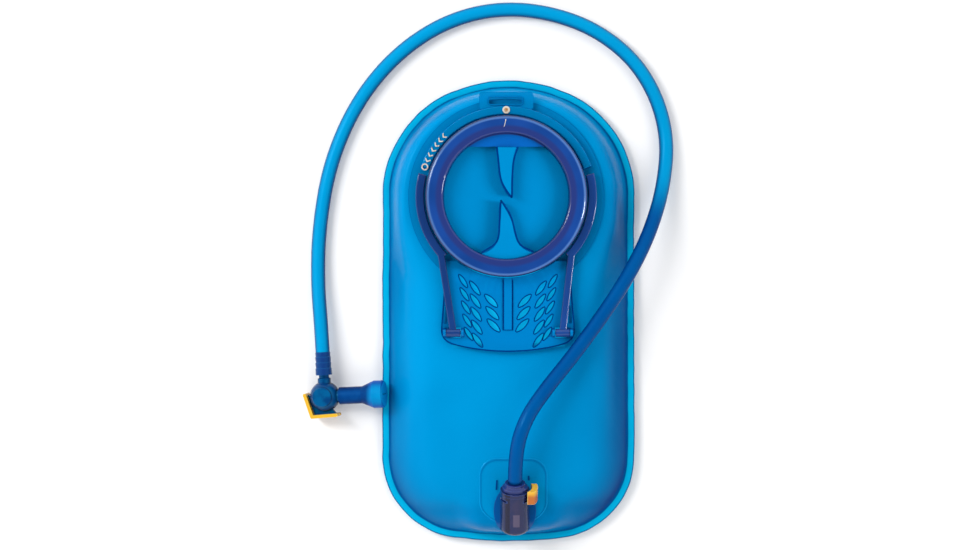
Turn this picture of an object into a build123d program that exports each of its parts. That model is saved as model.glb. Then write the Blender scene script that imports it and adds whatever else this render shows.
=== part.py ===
from build123d import *

import os
from math import copysign, cos, pi, radians, sin, sqrt, tan

# A hydration reservoir lying on its back. +Z points out of the front film, +Y to the hang slot.
# The origin is on the surface it lies on, under the middle of the film pillow. Millimetres.

# Film pillow
HALF_WIDTH = 89.0
HALF_LENGTH = 162.5
CROWN_RADIUS = 105.0
SHOULDER_RADIUS = 80.0
CORNER_RADIUS = 58.0
FOOT_RADIUS = 280.0
FLANGE_WIDTH = 5.0
FLANGE_FILM = 0.6
FILM = 0.8
SEAM_Z = 7.0
FRONT_Z = 30.0
FRONT_ROUND = 14.0
BACK_ROUND = 6.0

# Fill port, about its own centre
PORT = (-1.8, 79.2)
NECK_INNER = 46.6
NECK_OUTER = 49.6
NECK_TOP = 43.0
WELD_RADIUS = 67.7
COLLAR_Z = 31.4
BAND_INNER = 56.6
BAND_OUTER = 62.4
BAND_TOP = 37.0
BAND_END_ANGLE = 19.5
RAMP_HEIGHT = 0.9
RAMP_ANGLE = 38.0
RAMPS = 4
HOLE_MARGIN = 0.5
RAMP_HEIGHT_BELOW_TOP = 3.0
RAMP_THICKNESS = 2.0
BAND_EDGE_ROUND = 0.9

# Hang tab on the collar
TAB_LEFT = -20.5
TAB_RIGHT = 17.0
TAB_TOP = 151.5
TAB_Z = 33.2
TAB_THICKNESS = 1.9
HANG_SLOT = (23.0, 4.6)
HANG_SLOT_CENTRE = (-2.2, 145.3)
SLOT_LIP = 0.8
SLOT_LIP_HEIGHT = 0.7
TAB_FOOT = 3.0
TAB_CORNER = 2.5

# Cap
CAP_OUTER = 55.4
CAP_INNER = 43.3
CAP_BOTTOM = 32.6
CAP_TOP = 46.5
CAP_WALL = 1.9
SKIRT_INNER = 51.8
GASKET_THICKNESS = 1.5
CAP_EDGE_ROUND = 2.6
LEDGE_INNER = 40.6
WINDOW_Z = 34.2
WINDOW_THICKNESS = 1.5
FIN_TOP = 43.6
SHELF_EDGE = 34.0
SHELF_Z = 39.6
SHELF_THICKNESS = 1.4
CAP_LIP_ROUND = 1.4
# Grip fins about the port's centre: left flank and right flank, each from the wall in to the tip
UPPER_FIN = (
    ((-6.6, 35.0), (-5.4, 24.0), (-3.4, 10.5), (2.6, 0.0)),
    ((8.2, 36.0), (5.0, 24.0), (4.2, 11.0), (4.2, 0.0)),
)
LOWER_FIN = (
    ((-17.0, -39.0), (-6.5, -31.0), (-4.6, -17.0), (-4.0, -4.0)),
    ((19.0, -38.5), (8.8, -32.0), (3.8, -15.5), (-2.4, -4.0)),
)
FIT = 0.05
GAP = 0.3

# Marks on the collar's band
MARK_RADIUS = 59.6
MARK_HEIGHT = 0.5
PIP_RADIUS = 2.6
RING_MARK_ANGLE = 160.0
CHEVRONS = 6
CHEVRON_FIRST_ANGLE = 135.5
CHEVRON_STEP = 3.9
CHEVRON = ((-1.9, -1.0), (0, 0.6), (1.9, -1.0), (1.9, 0.1), (0, 1.7), (-1.9, 0.1))
RING_MARK = (1.5, 2.4)
PIP_ROUND = 0.4

# Handle plate
PLATE_X = -0.6
PLATE_THICKNESS = 2.5
PLATE_SHOULDER = (42.9, 35.0)
PLATE_HALF_WIDTH = 46.2
PLATE_WAIST_Y = -12.6
PLATE_FOOT_Y = -23.2
PLATE_BOTTOM_Y = -27.9
PLATE_CORNER = 9.5
PLATE_CORNER_MIDDLE = (44.11, -19.2)
RIB_WIDTH = 5.6
RIB_HEIGHT = 1.3
SIDE_SLOT = (2.0, 12.0)
SIDE_SLOT_CENTRE = (43.2, -2.0)
# Leaf columns on the left half: first centre, step to the next, count, length, width, slant
LEAF_COLUMNS = (
    ((-30.9, 21.0), (0.95, -9.1), 5, 10.8, 3.1, -57.0),
    ((-22.8, 16.2), (0.45, -9.0), 5, 12.0, 3.6, -54.0),
    ((-11.6, 7.4), (0.85, -8.5), 3, 12.4, 4.1, -45.0),
)

# Dryer arms: a hinge barrel across the foot of the plate, a bar, and an arc round the cap
ARM_Z = 34.6
ARM_THICKNESS = 3.8
ARM_WIDTH = 4.8
ARM_HINGE_Y = -14.6
ARM_HINGE_X = 37.6
ARM_SHOULDER_ANGLE = 49.0
ARM_TIP_ANGLE = 15.0
ARM_OVERLAP_ANGLE = 3.0
ARM_EDGE_ROUND = 0.8
ARM_AXIS_Z = ARM_Z + ARM_THICKNESS / 2
BARREL_RADIUS = 2.9
BARREL_LENGTH = 9.6
LUG_THICKNESS = 2.2
PIN_RADIUS = 1.2
PIN_CLEARANCE = 0.06

# Outlet: a socket whose axis leans up out of the film towards +Y
OUTLET_RIM = (4.2, -121.7, 41.2)
OUTLET_LEAN = 20.0
SOCKET_RADIUS = 10.0
SOCKET_LENGTH = 31.9
SOCKET_END_ROUND = 4.0
BORE_RADIUS = 6.2
BORE_DEPTH = 28.5
SEAT_DEPTH = 19.5
SEAT_THICKNESS = 1.5
SEAT_RADIUS = 4.3
RIM_LIP = 0.25
RIM_LIP_LENGTH = 2.6
INLET = (7.0, 6.0)
INLET_HEIGHT = 3.2
PATCH_HALF_WIDTH = 23.6
PATCH_CENTRE_X = 3.2
PATCH_TOP = -101.5
PATCH_FLANK = -131.5
PATCH_BOTTOM = -150.5
PATCH_THICKNESS = 1.1
CORNER_SHARE = 0.86
SADDLE = (14.6, 18.0)
SADDLE_CENTRE_Y = -137.5
SADDLE_THICKNESS = 2.8
SADDLE_RISE = 4.0

# Latch across the socket
LATCH_DEPTH = 6.0
LATCH_THICKNESS = 1.2
LATCH_TRAVEL = 1.5
LATCH_HALF_WIDTH = 8.0
TONGUE_WIDTH = 7.6
TONGUE_GRIP = 0.6
PLUG_ROOM = 0.2
BUTTON_RADIUS = 15.6
BUTTON_INNER = 11.9
BUTTON_START = -7.5
BUTTON_END = 2.0
BUTTON_BOUNDS = (18.2, 13.0)
BUTTON_OFFSET = -2.0
BUTTON_ROUND = 1.2
LATCH_LEAF = (0.25, 3.4)

# Check valve
POPPET_RADIUS = 5.6
POPPET_FACE = -22.6
POPPET_THICKNESS = 1.4
POPPET_STEM_END = -20.7
STEM_ROOM = 0.9
CHANNEL_WIDTH = 1.6
SPRING_WIRE = 0.3
SPRING_RADIUS = 4.6
SPRING_ROOM = 0.1
SPRING_TURNS = 3

# Hose and its connector
HOSE_RADIUS = 5.0
HOSE_BORE = 3.2
PLUG_RADIUS = 6.1
NOSE_RADIUS = 3.9
NOSE_BORE = 2.6
NOSE_TIP = -20.5
WATER_BORE = 2.2
SEAL_GROOVE = -11.0
GROOVE_DEPTH = 1.2
GROOVE_HALF_WIDTH = 0.9
SEAL_SECTION = 0.6
SEAL_SINK = 0.58
STOP_START = 0.2
STOP_END = 2.2
STOP_RADIUS = 8.8
NECK_START = 3.4
NECK_RADIUS = 7.0
HOSE_START = 5.0
START_LEAD = 23.0
END_LEAD = 31.0
ARC_SHARE = 0.45
CONNECTOR_BARB = 9.5

# Bite valve: local +X towards the mouth, local +Y up the hose
VALVE_CENTRE = (-128.8, -60.0, 10.8)
VALVE_TURN = 3.0
VALVE_TILT = 10.0
BALL_RADIUS = 10.6
BALL_HALF_HEIGHT = 9.2
HOSE_END = 15.2
ELBOW_NECK = 4.6
ELBOW_WAIST = 3.6
WAIST_START = 12.7
VALVE_BARB = 16.0
SPOOL_RADIUS = 5.6
SPOOL_LENGTH = 13.0
SPOOL_END_ROOM = 0.2
COVER_RADIUS = 6.9
COVER_RISE = 0.3
COVER_ROUND = 0.6
SPIGOT_RADIUS = 4.6
SPIGOT_BORE = 3.0
SPIGOT_END = 24.5
MOUTH_END = 43.0
MOUTH_RADIUS = 9.6
MOUTH_WALL = 1.5
MOUTH_EDGE = 1.0
MOUTH_SLIT = (10.0, 0.5)
SLEEVE_RADIUS = 6.0
BITE_START = 10.8
SLEEVE_END = 27.0
CONE_END = 35.5
SPOOL_SEAL_Z = 4.6
SPOOL_SEAL_SECTION = 0.45
SPOOL_SEAL_SINK = 0.5
SPOOL_GROOVE_DEPTH = 1.0
SPOOL_GROOVE_HALF = 0.6
LEVER_HALF_WIDTH = 5.6
LEVER_THICKNESS = 2.3
LEVER_OUTLINE = ((-13.4, 1.6), (-8.8, -13.9), (8.6, -13.2))
WEB_THICKNESS = 2.4
WEB_ROOM = (112, 312)
WEB_ROOT_ANGLES = (290, 235, 180)

# The hose's route, from the connector over the film, round the top and down to the bite valve
ROUTE_MIDDLE = (
    (11.0, -73.0, 53.0),
    (25.0, -53.0, 49.5),
    (43.5, -31.0, 45.5),
    (64.0, -3.5, 45.2),
    (83.5, 26.0, 43.0),
    (98.5, 55.0, 29.0),
    (109.0, 87.0, 12.0),
    (112.5, 122.0, 5.0),
    (103.0, 155.5, 5.1),
    (82.5, 184.0, 5.0),
    (48.0, 205.5, 5.1),
    (3.0, 214.5, 5.0),
    (-40.0, 206.5, 5.1),
    (-78.0, 182.5, 5.0),
    (-107.0, 147.5, 5.1),
    (-126.0, 104.0, 5.0),
    (-133.6, 58.0, 5.1),
    (-134.4, 20.0, 6.5),
)

OUTLET = Plane(
    origin=OUTLET_RIM,
    x_dir=(1, 0, 0),
    z_dir=(0, cos(radians(OUTLET_LEAN)), sin(radians(OUTLET_LEAN))),
)


def valve_plane():
    """Frame of the bite valve: turned a little in plan and tilted so its mouth rests high."""
    turn = radians(VALVE_TURN)
    tilt = radians(VALVE_TILT)
    toward_mouth = Vector(cos(tilt) * cos(turn), cos(tilt) * sin(turn), sin(tilt))
    up_hose = Vector(-sin(turn), cos(turn), 0)
    return Plane(origin=VALVE_CENTRE, x_dir=toward_mouth, z_dir=toward_mouth.cross(up_hose))


VALVE = valve_plane()


# Helpers


def ring(inner, outer, bottom, top):
    """Plain ring about Z."""
    return Pos(0, 0, bottom) * extrude(Circle(outer) - Circle(inner), top - bottom)


def turned(*corners):
    """Solid of revolution about Z from (radius, height) corners."""
    return revolve(Plane.XZ * make_face(Polyline(*corners, close=True)), Axis.Z)


def rod(radius, start, end, bore=0.0):
    """Round rod or tube along Z."""
    section = Circle(radius) - Circle(bore) if bore else Circle(radius)
    return Pos(0, 0, start) * extrude(section, end - start)


def sector(inner, outer, first, last, bottom, top):
    """Part of a ring between two angles."""
    section = make_face(
        [
            CenterArc((0, 0), inner, first, last - first),
            CenterArc((0, 0), outer, first, last - first),
            Line(polar(inner, first), polar(outer, first)),
            Line(polar(inner, last), polar(outer, last)),
        ]
    )
    return Pos(0, 0, bottom) * extrude(section, top - bottom)


def polar(radius, angle):
    return (radius * cos(radians(angle)), radius * sin(radians(angle)))


def lens(length, width):
    """Leaf outline: two equal arcs meeting in two points."""
    half = length / 2
    bulge = width / 2
    return make_face(
        [
            ThreePointArc((-half, 0), (0, bulge), (half, 0)),
            ThreePointArc((-half, 0), (0, -bulge), (half, 0)),
        ]
    )


def at_port(shape):
    return Pos(PORT[0], PORT[1], 0) * shape


# Film


def outline(inset=0.0):
    """Pillow outline: crown, shoulder and foot arcs and straight sides, all tangent, moved inwards."""
    crown_y = HALF_LENGTH - CROWN_RADIUS
    shoulder_x = HALF_WIDTH - SHOULDER_RADIUS
    shoulder_y = crown_y + sqrt((CROWN_RADIUS - SHOULDER_RADIUS) ** 2 - shoulder_x**2)
    foot_y = FOOT_RADIUS - HALF_LENGTH
    corner_x = HALF_WIDTH - CORNER_RADIUS
    corner_y = foot_y - sqrt((FOOT_RADIUS - CORNER_RADIUS) ** 2 - corner_x**2)

    crown = CROWN_RADIUS - inset
    foot = FOOT_RADIUS - inset
    side = HALF_WIDTH - inset
    crown_reach = Vector(shoulder_x, shoulder_y - crown_y).normalized() * crown
    foot_reach = Vector(corner_x, corner_y - foot_y).normalized() * foot
    crown_end = (crown_reach.X, crown_y + crown_reach.Y)
    foot_end = (foot_reach.X, foot_y + foot_reach.Y)
    shoulder_mid = arc_middle((shoulder_x, shoulder_y), crown_end, (side, shoulder_y))
    corner_mid = arc_middle((corner_x, corner_y), (side, corner_y), foot_end)
    right = [
        ThreePointArc(crown_end, shoulder_mid, (side, shoulder_y)),
        Line((side, shoulder_y), (side, corner_y)),
        ThreePointArc((side, corner_y), corner_mid, foot_end),
    ]
    left = [mirror(edge, about=Plane.YZ) for edge in right]
    top = ThreePointArc(crown_end, (0, crown_y + crown), (-crown_end[0], crown_end[1]))
    bottom = ThreePointArc(foot_end, (0, foot_y - foot), (-foot_end[0], foot_end[1]))
    return make_face([top, *right, bottom, *left])


def arc_middle(centre, start, end):
    """Point half way along the arc from start to end about a centre."""
    middle = (Vector(*start) + Vector(*end)) * 0.5 - Vector(*centre)
    radius = (Vector(*start) - Vector(*centre)).length
    point = Vector(*centre) + middle.normalized() * radius
    return (point.X, point.Y)


def pillow_half(inset, height, edge_round):
    """Solid under one film: the outline extruded from the seam with its far edge rounded."""
    block = extrude(outline(FLANGE_WIDTH + inset), height - inset)
    rim = block.edges().group_by(Axis.Z)[-1]
    return fillet(rim, edge_round - inset)


def front_solid(offset=0.0):
    """Solid bounded by the front film's outer face, moved outwards by an offset."""
    return Pos(0, 0, SEAM_Z) * pillow_half(-offset, FRONT_Z - SEAM_Z, FRONT_ROUND)


def flange():
    return extrude(outline() - outline(FLANGE_WIDTH + FILM), FLANGE_FILM)


def back_film():
    shell = pillow_half(0.0, SEAM_Z, BACK_ROUND) - pillow_half(FILM, SEAM_Z, BACK_ROUND)
    return Pos(0, 0, SEAM_Z) * mirror(shell + flange(), about=Plane.XY)


def front_film():
    shell = front_solid() - front_solid(-FILM) + Pos(0, 0, SEAM_Z) * flange()
    fill_hole = at_port(rod(NECK_INNER + HOLE_MARGIN, FRONT_Z - 2 * FILM, FRONT_Z + FILM))
    return shell - fill_hole - socket_envelope()


# Fill port and cap


def fill_port_collar():
    body = ring(NECK_INNER, WELD_RADIUS, FRONT_Z, COLLAR_Z)
    body += ring(NECK_INNER, NECK_OUTER, FRONT_Z, NECK_TOP)
    band = sector(BAND_INNER, BAND_OUTER, BAND_END_ANGLE, 180 - BAND_END_ANGLE, FRONT_Z, BAND_TOP)
    body += fillet(band.edges().group_by(Axis.Z)[-1], BAND_EDGE_ROUND)
    quarter = 360 / RAMPS
    for number in range(RAMPS):
        start = number * quarter
        ramp_top = NECK_TOP - RAMP_HEIGHT_BELOW_TOP
        body += sector(NECK_OUTER - FIT, NECK_OUTER + RAMP_HEIGHT, start, start + RAMP_ANGLE,
                       ramp_top - RAMP_THICKNESS, ramp_top)
    return at_port(body) + hang_tab()


def hang_tab():
    """Thin tab standing off the film past the band, with the slot a hook or webbing goes through."""
    foot = PORT[1] + BAND_INNER + TAB_FOOT
    width = TAB_RIGHT - TAB_LEFT
    centre_x = (TAB_LEFT + TAB_RIGHT) / 2
    plate = Pos(centre_x, (foot + TAB_TOP) / 2) * RectangleRounded(width, TAB_TOP - foot, TAB_CORNER)
    slot = Pos(*HANG_SLOT_CENTRE) * RectangleRounded(*HANG_SLOT, 1.2)
    lip_size = (HANG_SLOT[0] + 2 * SLOT_LIP, HANG_SLOT[1] + 2 * SLOT_LIP)
    lip = Pos(*HANG_SLOT_CENTRE) * RectangleRounded(*lip_size, 1.2 + SLOT_LIP)
    tab = Pos(0, 0, TAB_Z) * extrude(plate - slot, TAB_THICKNESS)
    tab += Pos(0, 0, TAB_Z) * extrude(lip - slot, TAB_THICKNESS + SLOT_LIP_HEIGHT)
    keep_out = at_port(rod(BAND_INNER + 1, TAB_Z, BAND_TOP))
    return tab - keep_out


def alignment_pip():
    pip = rod(PIP_RADIUS, BAND_TOP, BAND_TOP + 2 * PIP_ROUND)
    pip = fillet(pip.edges().group_by(Axis.Z)[-1], PIP_ROUND)
    return at_port(Pos(0, MARK_RADIUS) * pip)


def turn_marks():
    """Raised ring where the cap's pointer unlocks, and chevrons that lead to it."""
    ring_mark = ring(*RING_MARK, BAND_TOP, BAND_TOP + MARK_HEIGHT)
    marks = [at_port(Pos(*polar(MARK_RADIUS, RING_MARK_ANGLE)) * ring_mark)]
    chevron = make_face(Polyline(*CHEVRON, close=True))
    for number in range(CHEVRONS):
        angle = CHEVRON_FIRST_ANGLE + number * CHEVRON_STEP
        placed = Pos(*polar(MARK_RADIUS, angle)) * Rot(0, 0, angle) * chevron
        marks.append(at_port(Pos(0, 0, BAND_TOP) * extrude(placed, MARK_HEIGHT)))
    return Compound(marks)


def cap_ring():
    """Annular cap: skirt outside the neck, inner wall inside it, and a ledge for the window."""
    groove_top = NECK_TOP + GASKET_THICKNESS
    wall_outer = CAP_INNER + CAP_WALL
    body = turned(
        (CAP_INNER, CAP_TOP),
        (CAP_OUTER, CAP_TOP),
        (CAP_OUTER, CAP_BOTTOM),
        (SKIRT_INNER, CAP_BOTTOM),
        (SKIRT_INNER, groove_top),
        (wall_outer, groove_top),
        (wall_outer, WINDOW_Z - WINDOW_THICKNESS),
        (LEDGE_INNER, WINDOW_Z - WINDOW_THICKNESS),
        (LEDGE_INNER, WINDOW_Z),
        (CAP_INNER, WINDOW_Z),
    )
    top_edges = body.edges().filter_by(GeomType.CIRCLE).group_by(Axis.Z)[-1].sort_by(SortBy.RADIUS)
    body = fillet(top_edges[-1], CAP_EDGE_ROUND)
    top_edges = body.edges().filter_by(GeomType.CIRCLE).group_by(Axis.Z)[-1].sort_by(SortBy.RADIUS)
    body = fillet(top_edges[0], CAP_LIP_ROUND)
    shelf = Circle(CAP_INNER + CAP_WALL / 2) & above_shelf_edge(0)
    body += Pos(0, 0, SHELF_Z) * extrude(shelf, SHELF_THICKNESS)
    return at_port(body)


def above_shelf_edge(gap):
    """Half plane of the cap's inside on the shelf's side of its edge."""
    return Pos(0, SHELF_EDGE - gap + CAP_OUTER) * Rectangle(2 * CAP_OUTER, 2 * CAP_OUTER)


def fin(left, right):
    """Outline of a grip fin: a curved flank each side, a narrow tip, and a root beyond the wall."""
    beyond = copysign(CAP_OUTER, left[0][1])
    root = Polyline(left[0], (left[0][0], beyond), (right[0][0], beyond), right[0])
    return make_face([Spline(*left), Line(left[-1], right[-1]), Spline(*right), root])


def cap_window():
    """Clear recessed disc with the two fins that fingers turn the cap by."""
    disc = rod(CAP_INNER - FIT, WINDOW_Z, WINDOW_Z + WINDOW_THICKNESS)
    floor = WINDOW_Z + WINDOW_THICKNESS - FIT
    bounds = Circle(CAP_INNER - 2 * FIT) - above_shelf_edge(2 * FIT)
    for flanks in (UPPER_FIN, LOWER_FIN):
        disc += Pos(0, 0, floor) * extrude(fin(*flanks) & bounds, FIN_TOP - floor)
    return at_port(disc)


def cap_gasket():
    inner = CAP_INNER + CAP_WALL + GAP
    outer = SKIRT_INNER - GAP
    return at_port(ring(inner, outer, NECK_TOP, NECK_TOP + GASKET_THICKNESS))


# Handle plate and dryer arms


def plate_outline():
    """Right half and left half of the plate, from the shoulders to the curved foot."""
    shoulder_x, shoulder_y = PLATE_SHOULDER
    waist = (PLATE_HALF_WIDTH, PLATE_WAIST_Y)
    foot = (PLATE_HALF_WIDTH - PLATE_CORNER, PLATE_FOOT_Y)
    right = [
        Line((shoulder_x, shoulder_y), waist),
        ThreePointArc(waist, PLATE_CORNER_MIDDLE, foot),
    ]
    left = [mirror(edge, about=Plane.YZ) for edge in right]
    bottom = ThreePointArc(foot, (0, PLATE_BOTTOM_Y), (-foot[0], foot[1]))
    top = Line((shoulder_x, shoulder_y), (-shoulder_x, shoulder_y))
    return make_face([top, *right, bottom, *left])


def leaves():
    """Leaf openings of the left half, mirrored onto the right."""
    left = []
    for first, step, count, length, width, slant in LEAF_COLUMNS:
        for number in range(count):
            place = Pos(first[0] + number * step[0], first[1] + number * step[1])
            left.append(place * Rot(0, 0, slant) * lens(length, width))
    return left + [mirror(leaf, about=Plane.YZ) for leaf in left]


def hinge_lug():
    """Ear beside a hinge barrel: a rounded block with the pin's hole, standing on the plate."""
    profile = Circle(BARREL_RADIUS)
    profile += Pos(0, -BARREL_RADIUS / 2) * Rectangle(2 * BARREL_RADIUS, BARREL_RADIUS)
    profile -= Circle(PIN_RADIUS)
    ear = extrude(Plane.YZ * profile, LUG_THICKNESS / 2, both=True)
    foot_height = ARM_AXIS_Z - BARREL_RADIUS - COLLAR_Z
    foot = Pos(0, 0, -BARREL_RADIUS - foot_height / 2) * Box(LUG_THICKNESS, 2 * BARREL_RADIUS, foot_height)
    return Pos(0, 0, ARM_AXIS_Z) * (ear + foot)


def port_handle():
    """Plate under the cap: leaf openings, side slots, hinge windows with their lugs, a centre rib."""
    face = plate_outline()
    for leaf in leaves():
        face -= leaf
    for side in (-1, 1):
        face -= Pos(side * SIDE_SLOT_CENTRE[0], SIDE_SLOT_CENTRE[1]) * Rectangle(*SIDE_SLOT)
        window = Rectangle(BARREL_LENGTH + 2 * GAP, 2 * BARREL_RADIUS + 4 * GAP)
        face -= Pos(side * ARM_HINGE_X, ARM_HINGE_Y) * window
    plate = Pos(0, 0, COLLAR_Z) * extrude(face, PLATE_THICKNESS)
    rib_length = PLATE_SHOULDER[1] - PLATE_WAIST_Y
    rib = Pos(0, PLATE_WAIST_Y + rib_length / 2) * Rectangle(RIB_WIDTH, rib_length)
    plate += Pos(0, 0, COLLAR_Z) * extrude(rib, PLATE_THICKNESS + RIB_HEIGHT)
    offset = BARREL_LENGTH / 2 + GAP + LUG_THICKNESS / 2
    for side in (-1, 1):
        for end in (-1, 1):
            plate += Pos(side * ARM_HINGE_X + end * offset, ARM_HINGE_Y) * hinge_lug()
    cap_room = at_port(rod(CAP_OUTER + 2 * GAP, COLLAR_Z - 1, CAP_TOP))
    return Pos(PLATE_X, 0) * plate - cap_room


def dryer_arm(side):
    """Hinge barrel, bar and arc of one arm; side is -1 for the left arm and 1 for the right."""
    hinge_x = PLATE_X + side * ARM_HINGE_X
    middle = (BAND_INNER + BAND_OUTER) / 2
    shoulder = polar(middle, 270 + side * ARM_SHOULDER_ANGLE)
    shoulder_point = (PORT[0] + shoulder[0], PORT[1] + shoulder[1])
    run = Vector(*shoulder_point) - Vector(hinge_x, ARM_HINGE_Y)
    lean = Vector(0, 1).get_signed_angle(run, Vector(0, 0, 1))
    bar = Rot(0, 0, lean) * Pos(0, run.length / 2) * Rectangle(ARM_WIDTH, run.length + ARM_WIDTH / 2)
    bar = Pos(hinge_x, ARM_HINGE_Y) * bar
    below = 90 - ARM_SHOULDER_ANGLE + ARM_OVERLAP_ANGLE
    spread = below + ARM_TIP_ANGLE
    first = -below if side > 0 else 180 - ARM_TIP_ANGLE
    arc = sector(BAND_INNER, BAND_OUTER, first, first + spread, ARM_Z, ARM_Z + ARM_THICKNESS)
    arm = Pos(0, 0, ARM_Z) * extrude(bar, ARM_THICKNESS) + at_port(arc)
    arm = fillet(arm.edges().group_by(Axis.Z)[-1], ARM_EDGE_ROUND)
    hinge = Pos(hinge_x, ARM_HINGE_Y, ARM_AXIS_Z) * Rot(0, 90, 0)
    barrel = hinge * rod(BARREL_RADIUS, -BARREL_LENGTH / 2, BARREL_LENGTH / 2)
    bore = hinge * rod(PIN_RADIUS + PIN_CLEARANCE, -BARREL_LENGTH, BARREL_LENGTH)
    return arm + barrel - bore


def arm_pin(side):
    half = BARREL_LENGTH / 2 + GAP + LUG_THICKNESS
    pin = Rot(0, 90, 0) * rod(PIN_RADIUS, -half, half)
    return Pos(PLATE_X + side * ARM_HINGE_X, ARM_HINGE_Y, ARM_AXIS_Z) * pin


# Outlet and quick coupling. Local +Z runs out of the socket, local -Y leans up.


def socket_barrel(growth=0.0):
    barrel = rod(SOCKET_RADIUS + growth, -SOCKET_LENGTH - growth, 0)
    return fillet(barrel.edges().group_by(Axis.Z)[0], SOCKET_END_ROUND)


def socket_envelope():
    """Room for the socket in the film, the patch and the saddle."""
    return OUTLET * socket_barrel(FIT)


def outlet_patch():
    """D-shaped weld patch that follows the film."""
    half = PATCH_HALF_WIDTH
    shoulder = PATCH_TOP - half / 2
    corner_x = CORNER_SHARE * half
    corner_y = PATCH_TOP - (1 - CORNER_SHARE) * half
    sides = [
        Line((-half, PATCH_FLANK), (-half, shoulder)),
        ThreePointArc((-half, shoulder), (-corner_x, corner_y), (-half / 2, PATCH_TOP)),
        Line((-half / 2, PATCH_TOP), (half / 2, PATCH_TOP)),
        ThreePointArc((half / 2, PATCH_TOP), (corner_x, corner_y), (half, shoulder)),
        Line((half, shoulder), (half, PATCH_FLANK)),
        ThreePointArc((half, PATCH_FLANK), (0, PATCH_BOTTOM), (-half, PATCH_FLANK)),
    ]
    prism = Pos(PATCH_CENTRE_X, 0, SEAM_Z) * extrude(make_face(sides), 2 * FRONT_Z)
    layer = front_solid(PATCH_THICKNESS) - front_solid()
    return (layer & prism) - socket_envelope() - saddle_prism()


def saddle_prism():
    face = Ellipse(*SADDLE)
    return Pos(OUTLET_RIM[0], SADDLE_CENTRE_Y, SEAM_Z + SADDLE_RISE) * extrude(face, 2 * FRONT_Z)


def outlet_socket():
    """Barrel with its bore, valve seat, latch slot and inlet, on a saddle that follows the film."""
    barrel = socket_barrel()
    barrel += ring(BORE_RADIUS, SOCKET_RADIUS + RIM_LIP, -RIM_LIP_LENGTH, 0)
    barrel -= rod(BORE_RADIUS, -BORE_DEPTH, 1)
    barrel += ring(SEAT_RADIUS, BORE_RADIUS + FIT, -SEAT_DEPTH, -SEAT_DEPTH + SEAT_THICKNESS)
    slot_height = LATCH_THICKNESS + GAP
    slot = Pos(1, 0, -LATCH_DEPTH) * Box(2 * BUTTON_RADIUS, 2 * LATCH_HALF_WIDTH + GAP, slot_height)
    inlet = Pos(0, SOCKET_RADIUS, -BORE_DEPTH + INLET_HEIGHT) * Box(INLET[0], SOCKET_RADIUS, INLET[1])
    barrel -= slot
    barrel -= inlet
    saddle = (front_solid(SADDLE_THICKNESS) - front_solid()) & saddle_prism()
    saddle -= OUTLET * rod(SOCKET_RADIUS - FIT, -SOCKET_LENGTH + GAP, 1)
    return saddle + OUTLET * barrel


def latch_plate():
    """Plate across the socket: its long hole leaves the plug clear wherever the button is."""
    reach = BUTTON_INNER + TONGUE_GRIP
    far_end = -SOCKET_RADIUS + LATCH_TRAVEL + 2 * GAP
    width = 2 * (LATCH_HALF_WIDTH - GAP)
    body = Pos((reach + far_end) / 2, 0) * Rectangle(reach - far_end, width)
    hole_width = 2 * (PLUG_RADIUS + PLUG_ROOM)
    hole = Pos(LATCH_TRAVEL / 2, 0) * SlotOverall(hole_width + LATCH_TRAVEL, hole_width)
    bounds = Circle(SOCKET_RADIUS - LATCH_TRAVEL) + Pos(reach / 2, 0) * Rectangle(reach, TONGUE_WIDTH)
    plate = extrude((body & bounds) - hole, LATCH_THICKNESS)
    return OUTLET * Pos(0, 0, -LATCH_DEPTH - LATCH_THICKNESS / 2) * plate


def release_button():
    """Curved thumb pad on the latch plate's outer end."""
    pad = rod(BUTTON_RADIUS, BUTTON_START, BUTTON_END, BUTTON_INNER)
    length = BUTTON_END - BUTTON_START
    middle = (BUTTON_START + BUTTON_END) / 2
    pad &= Pos(BUTTON_RADIUS, BUTTON_OFFSET, middle) * Box(*BUTTON_BOUNDS, length)
    pad = fillet(pad.edges().filter_by(Axis.Z).sort_by(Axis.X)[-2:], BUTTON_ROUND)
    slot_depth = 2 * (TONGUE_GRIP + GAP)
    slot = Pos(BUTTON_INNER, 0, -LATCH_DEPTH) * Box(slot_depth, TONGUE_WIDTH + GAP, LATCH_THICKNESS)
    return OUTLET * (pad - slot)


def latch_spring():
    """Thin leaf at the far end of the latch's slot, drawn pressed flat."""
    leaf = Pos(-SOCKET_RADIUS + GAP, 0, -LATCH_DEPTH) * Box(*LATCH_LEAF, LATCH_THICKNESS)
    return OUTLET * leaf


def check_poppet():
    disc = rod(POPPET_RADIUS, POPPET_FACE - POPPET_THICKNESS, POPPET_FACE)
    stem = rod(SEAT_RADIUS - STEM_ROOM, POPPET_FACE, POPPET_STEM_END)
    channel = Box(2 * SEAT_RADIUS, CHANNEL_WIDTH, 2 * (POPPET_STEM_END - POPPET_FACE))
    stem -= Pos(0, 0, POPPET_STEM_END) * channel
    stem -= Pos(0, 0, POPPET_STEM_END) * Rot(0, 0, 90) * channel
    return OUTLET * (disc + stem)


def poppet_spring():
    """Coil between the poppet and the end of the bore, drawn pressed short."""
    start = -BORE_DEPTH + SPRING_WIRE
    height = POPPET_FACE - POPPET_THICKNESS - SPRING_WIRE - SPRING_ROOM - start
    coil = Helix(pitch=height / SPRING_TURNS, height=height, radius=SPRING_RADIUS)
    wire = sweep(Plane(coil @ 0, z_dir=coil % 0) * Circle(SPRING_WIRE), path=coil, is_frenet=True)
    return OUTLET * Pos(0, 0, start) * wire


# Hose and connector


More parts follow.
